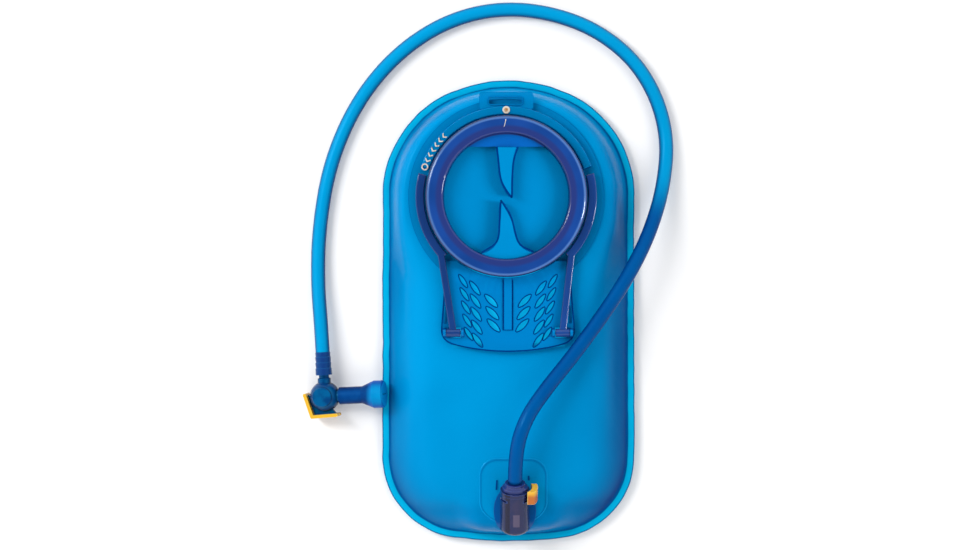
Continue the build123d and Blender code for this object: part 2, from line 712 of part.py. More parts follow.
def hose_connector():
    """Plug that slides in the socket, a collar at its rim, and the barb inside the hose."""
    plug = turned(
        (NOSE_BORE, NOSE_TIP),
        (NOSE_RADIUS, NOSE_TIP),
        (NOSE_RADIUS, -SEAT_DEPTH + SEAT_THICKNESS + GAP),
        (PLUG_RADIUS, -SEAT_DEPTH + SEAT_THICKNESS + GAP),
        (PLUG_RADIUS, SEAL_GROOVE - GROOVE_HALF_WIDTH),
        (PLUG_RADIUS - GROOVE_DEPTH, SEAL_GROOVE - GROOVE_HALF_WIDTH),
        (PLUG_RADIUS - GROOVE_DEPTH, SEAL_GROOVE + GROOVE_HALF_WIDTH),
        (PLUG_RADIUS, SEAL_GROOVE + GROOVE_HALF_WIDTH),
        (PLUG_RADIUS, STOP_START),
        (STOP_RADIUS, STOP_START),
        (STOP_RADIUS, STOP_END),
        (NECK_RADIUS, NECK_START),
        (NECK_RADIUS, HOSE_START),
        (HOSE_BORE - FIT, HOSE_START),
        (HOSE_BORE - FIT, HOSE_START + CONNECTOR_BARB),
        (WATER_BORE, HOSE_START + CONNECTOR_BARB),
        (WATER_BORE, 0),
        (NOSE_BORE, 0),
    )
    return OUTLET * plug


def connector_seal():
    return OUTLET * Pos(0, 0, SEAL_GROOVE) * Torus(PLUG_RADIUS - SEAL_SINK, SEAL_SECTION)


def route_points():
    """The hose's route: straight out of both fittings, and the points laid between them."""
    start = OUTLET.from_local_coords(Vector(0, 0, HOSE_START))
    start_lead = OUTLET.from_local_coords(Vector(0, 0, HOSE_START + START_LEAD))
    end_lead = VALVE.from_local_coords(Vector(0, HOSE_END + END_LEAD, 0))
    end = VALVE.from_local_coords(Vector(0, HOSE_END, 0))
    return [start, start_lead, *(Vector(*point) for point in ROUTE_MIDDLE), end_lead, end]


def hose_path():
    """Straight runs joined by tangent arcs, each as large as its two runs allow."""
    points = route_points()
    radii = []
    for before, corner, after in zip(points, points[1:], points[2:]):
        turn = (corner - before).get_angle(after - corner)
        shorter = min((corner - before).length, (after - corner).length)
        radii.append(ARC_SHARE * shorter / tan(radians(turn / 2)))
    print("hose arc radii:", [round(radius) for radius in radii])
    return FilletPolyline(*points, radius=radii)


def drink_hose():
    path = hose_path()
    section = Plane(origin=path @ 0, z_dir=path % 0) * (Circle(HOSE_RADIUS) - Circle(HOSE_BORE))
    tube = sweep(section, path=path)
    expected = pi * (HOSE_RADIUS**2 - HOSE_BORE**2) * path.length
    print(f"hose length {path.length:.1f}, volume {tube.volume:.0f}, section x length {expected:.0f}")
    return tube


# Bite valve, in its own frame


def valve_elbow():
    """Barb and neck, ball-shaped body with the spool's bore, and the spigot the mouthpiece sits on."""
    ball = Sphere(BALL_RADIUS) & Box(4 * BALL_RADIUS, 4 * BALL_RADIUS, 2 * BALL_HALF_HEIGHT)
    barb = turned(
        (0, 0),
        (ELBOW_NECK, 0),
        (ELBOW_NECK, WAIST_START),
        (ELBOW_WAIST, WAIST_START + (ELBOW_NECK - ELBOW_WAIST) / 2),
        (ELBOW_WAIST, HOSE_END),
        (HOSE_BORE - FIT, HOSE_END),
        (HOSE_BORE - FIT, HOSE_END + VALVE_BARB),
        (0, HOSE_END + VALVE_BARB),
    )
    body = ball + Rot(-90, 0, 0) * barb + Rot(0, 90, 0) * rod(SPIGOT_RADIUS, 0, SPIGOT_END)
    body -= Rot(-90, 0, 0) * rod(WATER_BORE, 0, HOSE_END + VALVE_BARB + 1)
    body -= Rot(0, 90, 0) * rod(SPIGOT_BORE, 0, SPIGOT_END + 1)
    body -= rod(SPOOL_RADIUS + FIT, -SPOOL_LENGTH / 2, SPOOL_LENGTH / 2)
    body -= rod(COVER_RADIUS + 2 * FIT, SPOOL_LENGTH / 2, BALL_RADIUS)
    web_top = WEB_THICKNESS / 2 + GAP
    web_room = sector(1, BALL_RADIUS + 2, *WEB_ROOM, -web_top, web_top)
    return VALVE * (body - web_room)


def elbow_cover():
    """Disc snapped in over the spool."""
    cover = rod(COVER_RADIUS, SPOOL_LENGTH / 2 + FIT, BALL_HALF_HEIGHT + COVER_RISE)
    cover = fillet(cover.edges().group_by(Axis.Z)[-1], COVER_ROUND)
    return VALVE * cover


def shutoff_spool():
    """Drum with a right-angled water way; two grooves hold its seals."""
    half = SPOOL_LENGTH / 2 - SPOOL_END_ROOM
    drum = rod(SPOOL_RADIUS, -half, half)
    drum -= Rot(-90, 0, 0) * rod(WATER_BORE, -1, BALL_RADIUS)
    drum -= Rot(0, 90, 0) * rod(WATER_BORE, -1, BALL_RADIUS)
    floor = SPOOL_RADIUS - SPOOL_GROOVE_DEPTH
    groove = ring(floor, SPOOL_RADIUS + 1, -SPOOL_GROOVE_HALF, SPOOL_GROOVE_HALF)
    for side in (-1, 1):
        drum -= Pos(0, 0, side * SPOOL_SEAL_Z) * groove
    return VALVE * drum


def spool_seals():
    seal = Torus(SPOOL_RADIUS - SPOOL_SEAL_SINK, SPOOL_SEAL_SECTION)
    return Compound([VALVE * Pos(0, 0, side * SPOOL_SEAL_Z) * seal for side in (-1, 1)])


def shutoff_lever():
    """Two thumb walls that wrap the elbow's outer corner."""
    middle = Polyline(*LEVER_OUTLINE)
    band = make_face(offset(middle, LEVER_THICKNESS / 2, side=Side.BOTH).edges())
    return VALVE * extrude(band, LEVER_HALF_WIDTH, both=True)


def lever_web():
    """Flat web that ties the thumb walls to the spool and turns it."""
    root = [polar(SPOOL_RADIUS - 2 * FIT, angle) for angle in WEB_ROOT_ANGLES]
    web = make_face(Polyline(*LEVER_OUTLINE, *root, close=True))
    web = extrude(web, WEB_THICKNESS / 2, both=True)
    web -= rod(SPOOL_RADIUS, -WEB_THICKNESS, WEB_THICKNESS)
    return VALVE * web - shutoff_lever()


def bite_valve():
    """Silicone sleeve, cone and head, closed by a slit end wall."""
    outer = [
        (SPIGOT_RADIUS + FIT, BITE_START),
        (SLEEVE_RADIUS, BITE_START),
        (SLEEVE_RADIUS, SLEEVE_END),
        (MOUTH_RADIUS, CONE_END),
        (MOUTH_RADIUS, MOUTH_END - MOUTH_EDGE),
        (MOUTH_RADIUS - MOUTH_EDGE, MOUTH_END),
        (0, MOUTH_END),
    ]
    inner = [
        (0, MOUTH_END - MOUTH_WALL),
        (MOUTH_RADIUS - MOUTH_WALL, MOUTH_END - MOUTH_WALL),
        (MOUTH_RADIUS - MOUTH_WALL, CONE_END + 1),
        (SPIGOT_RADIUS + FIT, SPIGOT_END + GAP),
    ]
    body = turned(*outer, *inner)
    slit = Pos(0, 0, MOUTH_END) * Box(*MOUTH_SLIT, 6 * MOUTH_WALL)
    return VALVE * Rot(0, 90, 0) * (body - slit)


SUB_PARTS = {
    "back_film": back_film,
    "front_film": front_film,
    "fill_port_collar": fill_port_collar,
    "alignment_pip": alignment_pip,
    "turn_marks": turn_marks,
    "cap_ring": cap_ring,
    "cap_window": cap_window,
    "cap_gasket": cap_gasket,
    "port_handle": port_handle,
    "left_dryer_arm": lambda: dryer_arm(-1),
    "right_dryer_arm": lambda: dryer_arm(1),
    "left_arm_pin": lambda: arm_pin(-1),
    "right_arm_pin": lambda: arm_pin(1),
    "outlet_patch": outlet_patch,
    "outlet_socket": outlet_socket,
    "latch_plate": latch_plate,
    "latch_spring": latch_spring,
    "release_button": release_button,
    "check_poppet": check_poppet,
    "poppet_spring": poppet_spring,
    "hose_connector": hose_connector,
    "connector_seal": connector_seal,
    "drink_hose": drink_hose,
    "valve_elbow": valve_elbow,
    "elbow_cover": elbow_cover,
    "shutoff_spool": shutoff_spool,
    "spool_seals": spool_seals,
    "shutoff_lever": shutoff_lever,
    "lever_web": lever_web,
    "bite_valve": bite_valve,
}


def main():
    os.makedirs("parts", exist_ok=True)
    for name, make in SUB_PARTS.items():
        export_step(make(), f"parts/{name}.step")


main()
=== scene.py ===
from math import cos, exp, hypot, pi, radians, sin, sqrt

import bpy
from mathutils import Matrix, Vector, noise


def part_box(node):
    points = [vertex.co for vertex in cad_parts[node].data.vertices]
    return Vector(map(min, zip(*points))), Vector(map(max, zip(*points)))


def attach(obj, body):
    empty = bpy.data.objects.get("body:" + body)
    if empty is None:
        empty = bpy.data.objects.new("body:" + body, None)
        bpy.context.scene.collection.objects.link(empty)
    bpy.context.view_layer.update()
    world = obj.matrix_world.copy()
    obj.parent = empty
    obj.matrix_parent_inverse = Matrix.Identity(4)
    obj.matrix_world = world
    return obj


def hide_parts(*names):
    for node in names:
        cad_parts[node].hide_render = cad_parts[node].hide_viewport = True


# Hydration bladder. Lengths are in millimetres until a mesh is made; MM turns them into metres.
MM = 0.001

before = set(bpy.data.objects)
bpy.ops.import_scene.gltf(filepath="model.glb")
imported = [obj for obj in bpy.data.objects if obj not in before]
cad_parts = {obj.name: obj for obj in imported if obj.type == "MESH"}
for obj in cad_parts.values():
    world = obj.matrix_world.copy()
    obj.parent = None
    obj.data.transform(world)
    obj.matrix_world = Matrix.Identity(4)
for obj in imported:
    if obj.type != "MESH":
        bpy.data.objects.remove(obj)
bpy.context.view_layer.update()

# Camera, straight above the bladder
CAMERA_AT = (-0.01365, 0.0252, 1.315)
CAMERA_LENS = 68.36

# Film outline, as in the CAD part
HALF_WIDTH = 89.0
HALF_LENGTH = 162.5
CROWN_RADIUS = 105.0
SHOULDER_RADIUS = 80.0
CORNER_RADIUS = 58.0
FOOT_RADIUS = 280.0
FLANGE_WIDTH = 5.0
SEAM_Z = 7.0
FLANGE_HALF = 0.55
FRONT_Z = 30.0
FIRM_EDGE = 13.0
SLACK_EDGE = 38.0
BACK_ROUND = 6.0
NECK_HOLE = 47.1

# Hose
HOSE_RADIUS = 5.0
HOSE_SIDES = 32
HOSE_ROUTE = (
    (4.2, -117.0, 42.91),
    (4.2, -95.4, 50.7),
    (11.0, -73.0, 51.0),
    (25.0, -53.0, 46.0),
    (43.5, -31.0, 40.0),
    (64.0, -3.5, 37.2),
    (83.5, 26.0, 34.0),
    (98.5, 55.0, 22.5),
    (109.0, 87.0, 10.0),
    (112.5, 122.0, 5.0),
    (103.0, 155.5, 5.1),
    (82.5, 184.0, 5.0),
    (48.0, 205.5, 5.1),
    (3.0, 214.5, 5.0),
    (-40.0, 206.5, 5.1),
    (-78.0, 182.5, 5.0),
    (-107.0, 147.5, 5.1),
    (-126.0, 104.0, 5.0),
    (-133.6, 58.0, 5.1),
    (-134.4, 20.0, 6.5),
    (-131.22, -13.86, 10.8),
    (-129.6, -44.82, 10.8),
)

# Bite valve frame: local X runs to the mouth, local Y up the hose
VALVE_AT = (-128.8, -60.0, 10.8)
VALVE_TURN = 3.0
VALVE_TILT = 10.0


def middle(node):
    """Middle of a CAD node's box, in millimetres."""
    low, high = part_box(node)
    return (Vector(low) + Vector(high)) / 2 / MM


PORT = middle("cap_gasket")
OUTLET_X = middle("check_poppet").x


# Camera and hose


def make_camera():
    data = bpy.data.cameras.new("camera")
    data.sensor_width = 36.0
    data.lens = CAMERA_LENS
    camera = bpy.data.objects.new("camera", data)
    camera.location = CAMERA_AT
    bpy.context.scene.collection.objects.link(camera)
    bpy.context.scene.camera = camera


def hose_path():
    """Points along the hose, in metres: a smooth spline laid by the route's points."""
    curve = bpy.data.curves.new("route", "CURVE")
    curve.dimensions = "3D"
    spline = curve.splines.new("NURBS")
    spline.points.add(len(HOSE_ROUTE) - 1)
    for point, place in zip(spline.points, HOSE_ROUTE):
        point.co = (*(Vector(place) * MM), 1.0)
    spline.order_u = 3
    spline.use_endpoint_u = True
    spline.resolution_u = 16
    carrier = bpy.data.objects.new("route", curve)
    line = bpy.data.meshes.new_from_object(carrier)
    places = [vertex.co.copy() for vertex in line.vertices]
    bpy.data.objects.remove(carrier)
    bpy.data.meshes.remove(line)
    bpy.data.curves.remove(curve)
    return places


def make_hose(path):
    """Round tube along the path, closed at both ends."""
    vertices, faces = [], []
    side = Vector((1, 0, 0))
    last = len(path) - 1
    for number, place in enumerate(path):
        run = (path[min(number + 1, last)] - path[max(number - 1, 0)]).normalized()
        side = (side - run * side.dot(run)).normalized()
        other = run.cross(side)
        for corner in range(HOSE_SIDES):
            angle = 2 * pi * corner / HOSE_SIDES
            reach = side * cos(angle) + other * sin(angle)
            vertices.append(place / MM + reach * HOSE_RADIUS)
    for row in range(last):
        for corner in range(HOSE_SIDES):
            after = (corner + 1) % HOSE_SIDES
            faces.append((row * HOSE_SIDES + corner, row * HOSE_SIDES + after,
                          (row + 1) * HOSE_SIDES + after, (row + 1) * HOSE_SIDES + corner))
    faces.append(tuple(reversed(range(HOSE_SIDES))))
    faces.append(tuple(last * HOSE_SIDES + corner for corner in range(HOSE_SIDES)))
    tube = mesh_object("hose", vertices, faces)
    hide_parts("drink_hose")
    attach(tube, "hose_assembly")
    return tube


# Meshes


def mesh_object(name, vertices, faces, smooth=True):
    """Object from millimetre vertices."""
    mesh = bpy.data.meshes.new(name)
    mesh.from_pydata([Vector(vertex) * MM for vertex in vertices], [], faces)
    mesh.update()
    if smooth:
        mesh.polygons.foreach_set("use_smooth", [True] * len(mesh.polygons))
    piece = bpy.data.objects.new(name, mesh)
    bpy.context.scene.collection.objects.link(piece)
    return piece


def point_values(piece, name, values):
    attribute = piece.data.attributes.new(name, "FLOAT", "POINT")
    attribute.data.foreach_set("value", values)


def smooth_step(low, high, value):
    share = min(max((value - low) / (high - low), 0.0), 1.0)
    return share * share * (3 - 2 * share)


def wave(x, y, size, layer):
    """Soft noise between about -1 and 1 whose bumps are about size millimetres across."""
    return noise.noise(Vector((x / size, y / size, layer)))


CROWN_Y = HALF_LENGTH - CROWN_RADIUS
SHOULDER_X = HALF_WIDTH - SHOULDER_RADIUS
SHOULDER_Y = CROWN_Y + sqrt((CROWN_RADIUS - SHOULDER_RADIUS) ** 2 - SHOULDER_X**2)
FOOT_Y = FOOT_RADIUS - HALF_LENGTH
CORNER_X = HALF_WIDTH - CORNER_RADIUS
CORNER_Y = FOOT_Y - sqrt((FOOT_RADIUS - CORNER_RADIUS) ** 2 - CORNER_X**2)


def inset(x, y):
    """How far a point lies inside the film's outline, negative outside it."""
    x = abs(x)
    found = [HALF_WIDTH - x]
    if y > CROWN_Y and x * (SHOULDER_Y - CROWN_Y) <= (y - CROWN_Y) * SHOULDER_X:
        found.append(CROWN_RADIUS - hypot(x, y - CROWN_Y))
    elif y > SHOULDER_Y:
        found.append(SHOULDER_RADIUS - hypot(x - SHOULDER_X, y - SHOULDER_Y))
    if y < FOOT_Y and x * (FOOT_Y - CORNER_Y) <= (FOOT_Y - y) * CORNER_X:
        found.append(FOOT_RADIUS - hypot(x, y - FOOT_Y))
    elif y < CORNER_Y:
        found.append(CORNER_RADIUS - hypot(x - CORNER_X, y - CORNER_Y))
    return min(found)


def outline_point(centre, angle):
    """Where a ray from a centre crosses the outline, and the outline's outward normal there."""
    direction = Vector((cos(angle), sin(angle)))
    near, far = 10.0, 400.0
    for _ in range(40):
        half = (near + far) / 2
        place = centre + direction * half
        if inset(place.x, place.y) > 0:
            near = half
        else:
            far = half
    place = centre + direction * near
    step = 0.01
    slope_x = inset(place.x + step, place.y) - inset(place.x - step, place.y)
    slope_y = inset(place.x, place.y + step) - inset(place.x, place.y - step)
    return place, -Vector((slope_x, slope_y)).normalized()


# Film pillow

# Soft hollows in the front film: middle, half widths, turn in degrees, depth
HOLLOWS = (
    ((77.0, 74.0), (4.5, 17.0), 6.0, 2.6),
    ((74.0, 50.0), (5.0, 15.0), -14.0, 2.0),
    ((72.0, 104.0), (4.5, 16.0), 24.0, 1.8),
    ((-76.0, 20.0), (4.0, 30.0), 0.0, 1.1),
    ((-74.0, -60.0), (4.0, 40.0), 0.0, 0.9),
    ((74.0, -40.0), (5.0, 52.0), 0.0, 1.6),
    ((-66.0, 124.0), (3.2, 13.0), -32.0, 2.4),
    ((-57.0, 133.0), (3.0, 9.0), -50.0, 1.8),
    ((-46.0, 138.0), (2.6, 8.0), -62.0, 1.2),
    ((-40.0, -138.0), (26.0, 5.0), 0.0, 1.3),
    ((46.0, -136.0), (22.0, 5.0), 8.0, 1.3),
)


def hollow_depth(x, y):
    """Depth of the soft hollows at a point."""
    depth = 0.0
    for (at_x, at_y), (half_x, half_y), turn, deep in HOLLOWS:
        c, s = cos(radians(turn)), sin(radians(turn))
        across = (x - at_x) * c + (y - at_y) * s
        along = -(x - at_x) * s + (y - at_y) * c
        depth += deep * exp(-((across / half_x) ** 2) - (along / half_y) ** 2)
    return depth


def round_profile(depth, height, radius):
    """Quarter-round edge with a short upright foot, as the CAD film has."""
    rest = radius - min(depth, radius)
    return height - radius + sqrt(radius**2 - rest**2)


def soft_profile(depth, height, width):
    """Slack pillow edge that reaches its full height over a width."""
    share = min(depth / width, 1.0)
    return height * (1 - (1 - share) ** 2.5)


def front_height(x, y, depth, pucker):
    """Height of the front film above the floor."""
    height = FRONT_Z - SEAM_Z
    from_port = hypot(x - PORT.x, y - PORT.y)
    from_outlet = hypot(x - OUTLET_X, (y + 134.0) * 0.9)
    firm = max(1 - smooth_step(70.0, 92.0, from_port), 1 - smooth_step(26.0, 44.0, from_outlet))
    tight = soft_profile(depth, height, FIRM_EDGE)
    slack = soft_profile(depth, height, SLACK_EDGE)
    rise = firm * tight + (1 - firm) * min(tight, slack)
    loose = (1 - firm) * smooth_step(0.0, 6.0, depth)
    rise -= loose * (hollow_depth(x, y) + 0.5 + 0.5 * wave(x, y, 46.0, 1.7))
    rise -= (1 - 0.8 * firm) * 0.9 * abs(pucker) * exp(-depth / 8.0) * smooth_step(0.0, 3.0, depth)
    return min(SEAM_Z + rise, barrel_floor(x, y)) - 0.06


def barrel_floor(x, y):
    """The film tucks under the outlet's barrel, which leans up out of it."""
    lean = radians(20.0)
    rim_y, rim_z = -121.7, 41.2
    across = abs(x - OUTLET_X)
    if across > 10.4 or y > rim_y + 6 or y < rim_y - 34:
        return FRONT_Z
    axis_z = rim_z + (y - rim_y) * sin(lean) / cos(lean)
    return axis_z - sqrt(10.4**2 - across**2) / cos(lean) - 0.2


def edge_shade(normal, place, depth):
    """Painted shade on the film at a depth inside the seam: most at the right, some at the foot."""
    lower = 1 - smooth_step(20.0, 110.0, place.y)
    right = max(0.0, normal.x) * (0.35 + 0.65 * lower)
    left = max(0.0, -normal.x) * (0.45 + 0.25 * lower)
    foot = max(0.0, -normal.y) * 0.55
    shade = right * exp(-depth / 13.0) + left * exp(-depth / 7.0) + foot * exp(-depth / 15.0)
    return shade + 0.16 * max(0.0, normal.y) * exp(-depth / 5.0)


FLANGE_STEPS = (0.0, 0.3, 0.8, 1.6, 2.6, 3.6, 4.3, 4.7)
RAYS = 576


def film_rows(centre, first_radius, rows, power):
    """Rays from the port or the middle out to the rim: for each, its rim point, normal and row places."""
    rays = []
    for number in range(RAYS):
        angle = 2 * pi * number / RAYS
        rim, normal = outline_point(centre, angle)
        scallop = 0.55 * wave(rim.x, rim.y, 26.0, 5.3) + 0.3 * wave(rim.x, rim.y, 9.0, 8.1)
        rim = rim + normal * (min(scallop, 0.3) - 0.3)
        seam = rim - normal * FLANGE_WIDTH
        start = centre + Vector((cos(angle), sin(angle))) * first_radius
        shares = [1 - (1 - row / rows) ** power for row in range(rows + 1)]
        rays.append((rim, normal, [start.lerp(seam, share) for share in shares]))
    return rays


def front_film():
    """Front film: port hole, slack plateau, puckered edge and the flat welded flange."""
    vertices, depths, shades = [], [], []
    for rim, normal, places in film_rows(PORT.xy, NECK_HOLE, 96, 1.5):
        pucker = wave(rim.x, rim.y, 13.0, 2.2)
        lift = 0.5 * wave(rim.x, rim.y, 31.0, 9.4)
        for place in places:
            depth = max(inset(place.x, place.y) - FLANGE_WIDTH, 0.0)
            z = front_height(place.x, place.y, depth, pucker)
            z = max(z, SEAM_Z + FLANGE_HALF) + lift * exp(-depth / 4.0)
            vertices.append((place.x, place.y, z))
            depths.append(FLANGE_WIDTH + depth)
            # Painted shade: the film is also darker in its soft hollows and towards its foot.
            dim = edge_shade(normal, place, depth) + 0.11 * hollow_depth(place.x, place.y)
            shades.append(dim + 0.1 * smooth_step(40.0, 150.0, -place.y))
        for step in reversed(FLANGE_STEPS):
            place = rim - normal * step
            height = FLANGE_HALF * min(step / 0.8, 1.0) - 0.15 * smooth_step(4.0, 4.7, step)
            vertices.append((place.x, place.y, SEAM_Z + height + lift))
            depths.append(step)
            shades.append(0.0)
    piece = grid_object("front_film_skin", vertices)
    point_values(piece, "film_depth", depths)
    point_values(piece, "film_shade", shades)
    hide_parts("front_film")
    return finish_film(piece)


def back_film():
    """Back film: flat where it lies, rounded up to the flange."""
    height = SEAM_Z
    vertices, depths, shades = [], [], []
    for rim, normal, places in film_rows(Vector((0.0, 0.0)), 1.0, 72, 1.6):
        pucker = wave(rim.x, rim.y, 13.0, 2.2)
        lift = 0.5 * wave(rim.x, rim.y, 31.0, 9.4)
        for place in places:
            depth = max(inset(place.x, place.y) - FLANGE_WIDTH, 0.0)
            drop = round_profile(depth, height, BACK_ROUND)
            drop -= 0.8 * abs(pucker) * exp(-depth / 6.0) * smooth_step(0.0, 3.0, depth)
            z = min(SEAM_Z - drop + 0.05, SEAM_Z - FLANGE_HALF) + lift * exp(-depth / 4.0)
            vertices.append((place.x, place.y, max(z, 0.02)))
            depths.append(FLANGE_WIDTH + depth)
            # Painted shade: the back film, under the front film, is a little darker all over and where it curves
            # away.
            shades.append(0.12 + edge_shade(normal, place, depth))
        for step in reversed(FLANGE_STEPS):
            place = rim - normal * step
            z = SEAM_Z - FLANGE_HALF * min(step / 0.8, 1.0) + lift
            vertices.append((place.x, place.y, z))
            depths.append(step)
            shades.append(0.0)
    piece = grid_object("back_film_skin", vertices, flip=True)
    point_values(piece, "film_depth", depths)
    point_values(piece, "film_shade", shades)
    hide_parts("back_film")
    return finish_film(piece)


def grid_object(name, vertices, flip=False):
    """Closed fan of quads from rays of equal length."""
    rows = len(vertices) // RAYS
    faces = []
    for ray in range(RAYS):
        after = (ray + 1) % RAYS
        for row in range(rows - 1):
            face = (ray * rows + row, ray * rows + row + 1, after * rows + row + 1, after * rows + row)
            faces.append(face[::-1] if flip else face)
    if flip:
        faces.append([ray * rows for ray in range(RAYS)])
    return mesh_object(name, vertices, faces)


def finish_film(piece):
    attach(piece, "reservoir")
    return piece


def outlet_patch():
    """Weld patch round the outlet: a thin sheet with a raised D-shaped bead, laid on the film."""
    low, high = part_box("outlet_patch")
    left, right = low.x / MM, high.x / MM
    bottom, top = low.y / MM, high.y / MM
    centre_x, half = (left + right) / 2, (right - left) / 2
    flank = top - 30.0
    vertices = []
    bead = []
    outline = []
    corner = 11.8
    for step in range(13):
        angle = pi / 2 * step / 12
        outline.append((right - corner + corner * cos(angle), top - corner + corner * sin(angle)))
    outline += [(2 * centre_x - x, y) for x, y in reversed(outline)]
    for step in range(1, 40):
        angle = pi + pi * step / 40
        outline.append((centre_x + half * cos(angle), flank + (flank - bottom) * sin(angle)))
    anchor = Vector((centre_x, flank))
    shares = [0.0, 0.25, 0.5, 0.7, 0.84, 0.9, 0.925, 0.945, 0.965, 0.985, 1.0]
    count = len(outline)
    for point in outline:
        for share in shares:
            place = anchor.lerp(Vector(point), share)
            depth = max(inset(place.x, place.y) - FLANGE_WIDTH, 0.0)
            z = front_height(place.x, place.y, depth, 0.0)
            raised = exp(-(((share - 0.955) / 0.022) ** 2))
            vertices.append((place.x, place.y, z + 0.25 * (share < 1.0) + 0.15 * raised))
            bead.append(raised)
    rows = len(shares)
    faces = []
    for number in range(count):
        after = (number + 1) % count
        for row in range(rows - 1):
            faces.append((number * rows + row, number * rows + row + 1,
                          after * rows + row + 1, after * rows + row))
    piece = mesh_object("outlet_weld_patch", vertices, faces)
    point_values(piece, "bead", bead)
    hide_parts("outlet_patch")
    return finish_film(piece)


# Small added pieces


def lathe(name, profile, place, sides=48):
    """Turned piece: profile of (distance along the axis, radius), with place giving its frame."""
    vertices = []
    for along, radius in profile:
        for side in range(sides):
            angle = 2 * pi * side / sides
            vertices.append(place @ Vector((radius * cos(angle), radius * sin(angle), along)))
    faces = []
    for row in range(len(profile) - 1):
        for side in range(sides):
            after = (side + 1) % sides
            faces.append((row * sides + side, row * sides + after,
                          (row + 1) * sides + after, (row + 1) * sides + side))
    return mesh_object(name, vertices, faces, smooth=False)


def valve_frame():
    """Bite valve axes: X to the mouth, Y up the hose."""
    turn, tilt = radians(VALVE_TURN), radians(VALVE_TILT)
    mouth = Vector((cos(tilt) * cos(turn), cos(tilt) * sin(turn), sin(tilt)))
    hose = Vector((-sin(turn), cos(turn), 0))
    side = mouth.cross(hose)
    rows = Matrix((mouth, hose, side)).transposed().to_4x4()
    return Matrix.Translation(VALVE_AT) @ rows


def hose_end_sleeve():
    """The hose's end swells in steps over the elbow's barb."""
    up_hose = valve_frame() @ Matrix.Rotation(-pi / 2, 4, "X")
    profile = [(15.0, 4.7), (15.1, 5.75), (19.6, 5.7), (20.0, 5.35), (23.6, 5.6), (24.0, 5.25),
               (27.6, 5.5), (28.0, 5.15), (30.6, 5.3), (31.2, 5.02)]
    piece = lathe("hose_end_sleeve", profile, up_hose)
    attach(piece, "hose_assembly")
    return piece


def cap_pointer():
    """Thin raised line on the cap that points at the pip."""
    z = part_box("cap_ring")[1].z / MM
    start, end = Vector((PORT.x - 0.2, PORT.y + 54.2)), Vector((PORT.x - 1.6, PORT.y + 47.2))
    vertices, faces = [], []
    steps = 8
    for step in range(steps + 1):
        share = step / steps
        place = start.lerp(end, share) + Vector((0.25 * sin(pi * share), 0))
        half = 0.28 * (1 - 0.5 * share)
        for across, height in ((-half, -0.4), (-half, 0.12), (half, 0.12), (half, -0.4)):
            vertices.append((place.x + across, place.y, z + height - 0.9 * exp(-share * 9.0)))
        if step:
            base = 4 * (step - 1)
            faces += [(base + side, base + side + 1, base + side + 5, base + side + 4) for side in range(3)]
    faces += [(3, 2, 1, 0), tuple(4 * steps + corner for corner in range(4))]
    piece = mesh_object("cap_pointer", vertices, faces, smooth=False)
    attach(piece, "cap")
    return piece


PATCH_RIBS = (((-8.2, -116.6), (-8.5, -123.4)), ((13.8, -113.6), (13.9, -116.8)))
# Outlines of the cap's fins about the port, and of the plate's leaf openings about the plate
FIN_FLANKS = (
    ((-6.5, 33.8), (-5.4, 24.0), (-3.4, 10.5), (2.6, 0.4), (3.8, 0.4), (4.0, 11.0), (5.0, 24.0), (8.0, 33.8)),
    ((-16.8, -38.6), (-6.5, -31.0), (-4.6, -17.0), (-3.8, -4.4), (-2.7, -4.4), (3.6, -15.5), (8.6, -32.0),
     (18.7, -38.2)),
)
LEAF_COLUMNS = (
    ((-30.9, 21.0), (0.95, -9.1), 5, 10.8, 3.1, -57.0),
    ((-22.8, 16.2), (0.45, -9.0), 5, 12.0, 3.6, -54.0),
    ((-11.6, 7.4), (0.85, -8.5), 3, 12.4, 4.1, -45.0),
)
PLATE_EDGE = (
    (-42.6, 28.0), (-44.2, 6.0), (-45.6, -12.4), (-43.6, -18.8), (-36.4, -22.8), (-18.6, -26.2), (0.0, -27.3),
    (18.6, -26.2), (36.4, -22.8), (43.6, -18.8), (45.6, -12.4), (44.2, 6.0), (42.6, 28.0),
)
RIB_EDGE = ((-3.3, 22.0), (-3.3, -13.0), (3.3, -13.0), (3.3, 22.0))
PLATE_X = -0.6
# Height of the plate's top face over the collar's underside
PLATE_FACE = 3.9


def smooth_line(points):
    """Curve through the points, straight in a segment only where the points are."""
    points = [Vector(point) for point in points]
    padded = [2 * points[0] - points[1], *points, 2 * points[-1] - points[-2]]
    line = []
    for before, first, second, after in zip(padded, padded[1:], padded[2:], padded[3:]):
        for step in range(8):
            share = step / 8
            curve = 2 * first + (second - before) * share
            curve += (2 * before - 5 * first + 4 * second - after) * share**2
            curve += (3 * first - before - 3 * second + after) * share**3
            line.append(curve / 2)
    return [*line, points[-1]]


def ribbons(name, lines, half_width, height, body):
    """Thin flat bands along lines on a moulding's top face, which carry painted shade along its clear edges."""
    vertices, faces = [], []
    for line in lines:
        base = len(vertices)
        for number, place in enumerate(line):
            run = line[min(number + 1, len(line) - 1)] - line[max(number - 1, 0)]
            aside = Vector((-run.y, run.x)).normalized() * half_width
            vertices += [(*(place - aside), height), (*(place + aside), height)]
            if number:
                corner = base + 2 * number
                faces.append((corner - 2, corner, corner + 1, corner - 1))
    piece = mesh_object(name, vertices, faces)
    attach(piece, body)
    return piece


